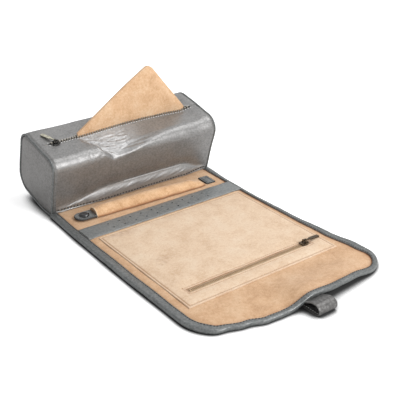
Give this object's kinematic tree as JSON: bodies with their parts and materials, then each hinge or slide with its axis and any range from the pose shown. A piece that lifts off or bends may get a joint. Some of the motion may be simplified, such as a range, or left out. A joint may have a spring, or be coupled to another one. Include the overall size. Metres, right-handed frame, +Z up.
{
  "type": "jewelry roll",
  "caption": "Leather jewelry roll lying open: a zipped case with a suede pouch, and a long bound flap with a snap-down ring bar, an earring strip, a zipped pocket and a strap loop.",
  "frame": {"origin": "middle of the whole roll's footprint as it lies open, on the surface that it lies on", "axes": "+X along the case towards the pouch's tall end, +Y from the flap's front edge towards the case, +Z up"},
  "size_m": [0.2084, 0.3652, 0.1318],
  "materials": {
    "pewter_leather": "smooth satin leather with a fine grain",
    "tan_suede": "soft suede with a short nap",
    "pocket_suede": "paler suede with a short nap",
    "board": "grey paperboard",
    "felt": "thin wadding felt",
    "tan_tape": "woven zip tape",
    "dark_tape": "woven zip tape",
    "dark_teeth": "dark plated teeth",
    "tan_teeth": "coil teeth",
    "black_metal": "black nickel, glossy",
    "pale_brass": "polished pale brass with dark edges",
    "antique_bronze": "antique bronze, rubbed bright on the edges",
    "black_lacquer": "glossy black lacquer",
    "snap_steel": "plated steel"
  },
  "bodies": {
    "case": {"case_leather": "pewter_leather", "case_board": "board", "case_lining": "tan_suede", "seam_strip": "pewter_leather", "end_piping_left": "pewter_leather", "end_piping_right": "pewter_leather", "end_panel_left": "pewter_leather", "end_panel_right": "pewter_leather", "end_board_left": "board", "end_board_right": "board", "end_lining_left": "tan_suede", "end_lining_right": "tan_suede", "case_zip_tape_front": "dark_tape", "case_zip_tape_back": "dark_tape", "case_zip_teeth_front": "dark_teeth", "case_zip_teeth_back": "dark_teeth", "case_zip_stops": "dark_teeth"},
    "case_slider": {"case_zip_slider": "black_metal"},
    "case_pull": {"case_pull_ring": "black_metal", "case_pull_bar": "pale_brass"},
    "pouch": {"pouch_front": "tan_suede", "pouch_back": "tan_suede"},
    "panel_1": {"flap_leather_1": "pewter_leather", "flap_felt_1": "felt", "flap_lining_1": "tan_suede", "flap_binding_1": "pewter_leather", "earring_strip": "pewter_leather", "ring_snap_stud": "snap_steel", "ring_keeper": "pewter_leather"},
    "ring_bar": {"ring_bar_pad": "tan_suede", "ring_bar_tab": "pewter_leather", "ring_snap_cap": "black_lacquer", "ring_snap_socket": "snap_steel"},
    "panel_2": {"flap_leather_2": "pewter_leather", "flap_felt_2": "felt", "flap_lining_2": "tan_suede", "flap_binding_2": "pewter_leather", "pocket_panel_back": "pocket_suede"},
    "panel_3": {"flap_leather_3": "pewter_leather", "flap_felt_3": "felt", "flap_lining_3": "tan_suede", "flap_binding_3": "pewter_leather", "pocket_panel_front": "pocket_suede", "pocket_zip_tape": "tan_tape", "pocket_zip_teeth": "tan_teeth"},
    "pocket_slider": {"pocket_zip_slider": "antique_bronze"},
    "pocket_pull": {"pocket_pull_ring": "antique_bronze", "pocket_pull_bar": "antique_bronze"},
    "panel_4": {"flap_leather_4": "pewter_leather", "flap_felt_4": "felt", "flap_lining_4": "tan_suede", "flap_binding_4": "pewter_leather"},
    "strap": {"strap_loop": "pewter_leather"}
  },
  "joints": [
    {"name": "fold_1", "type": "hinge", "parent": "case", "child": "panel_1", "pos_m": [0, 0.111, 0.0047], "axis": [1, 0, 0], "range_deg": [-67, 0], "deforming": ["ring_bar_pad"]},
    {"name": "fold_2", "type": "hinge", "parent": "panel_1", "child": "panel_2", "pos_m": [0, 0.0419, 0.0047], "axis": [1, 0, 0], "range_deg": [-98, 0]},
    {"name": "fold_3", "type": "hinge", "parent": "panel_2", "child": "panel_3", "pos_m": [0, -0.0401, 0.0047], "axis": [1, 0, 0], "range_deg": [-72, 0]},
    {"name": "fold_4", "type": "hinge", "parent": "panel_3", "child": "panel_4", "pos_m": [0, -0.1115, 0.0047], "axis": [1, 0, 0], "range_deg": [-84, 0]},
    {"name": "strap_swing", "type": "hinge", "parent": "panel_4", "child": "strap", "pos_m": [0.007, -0.1609, 0.0042], "axis": [-1, 0, 0], "range_deg": [0, 55]},
    {"name": "case_zip_slide", "type": "slide", "parent": "case", "child": "case_slider", "axis": [-1, 0, 0], "range_m": [-0.158, 0], "deforming": ["pouch_front", "pouch_back"]},
    {"name": "case_pull_swing", "type": "hinge", "parent": "case_slider", "child": "case_pull", "pos_m": [-0.08, 0.13029, 0.07562], "axis": [1, 0, 0], "range_deg": [0, 150]},
    {"name": "pouch_slide", "type": "slide", "parent": "case", "child": "pouch", "axis": [0, 0, 1], "range_m": [-0.058, 0.04]},
    {"name": "pocket_zip_slide", "type": "slide", "parent": "panel_3", "child": "pocket_slider", "axis": [-1, 0, 0], "range_m": [0, 0.13]},
    {"name": "pocket_pull_swing", "type": "hinge", "parent": "pocket_slider", "child": "pocket_pull", "pos_m": [0.0655, -0.088, 0.00825], "axis": [0, -1, 0], "range_deg": [0, 150]},
    {"name": "ring_bar_lift", "type": "hinge", "parent": "panel_1", "child": "ring_bar", "pos_m": [0.0695, 0.0802, 0.0037], "axis": [0.0451, 0.999, 0], "range_deg": [0, 100]}
  ]
}
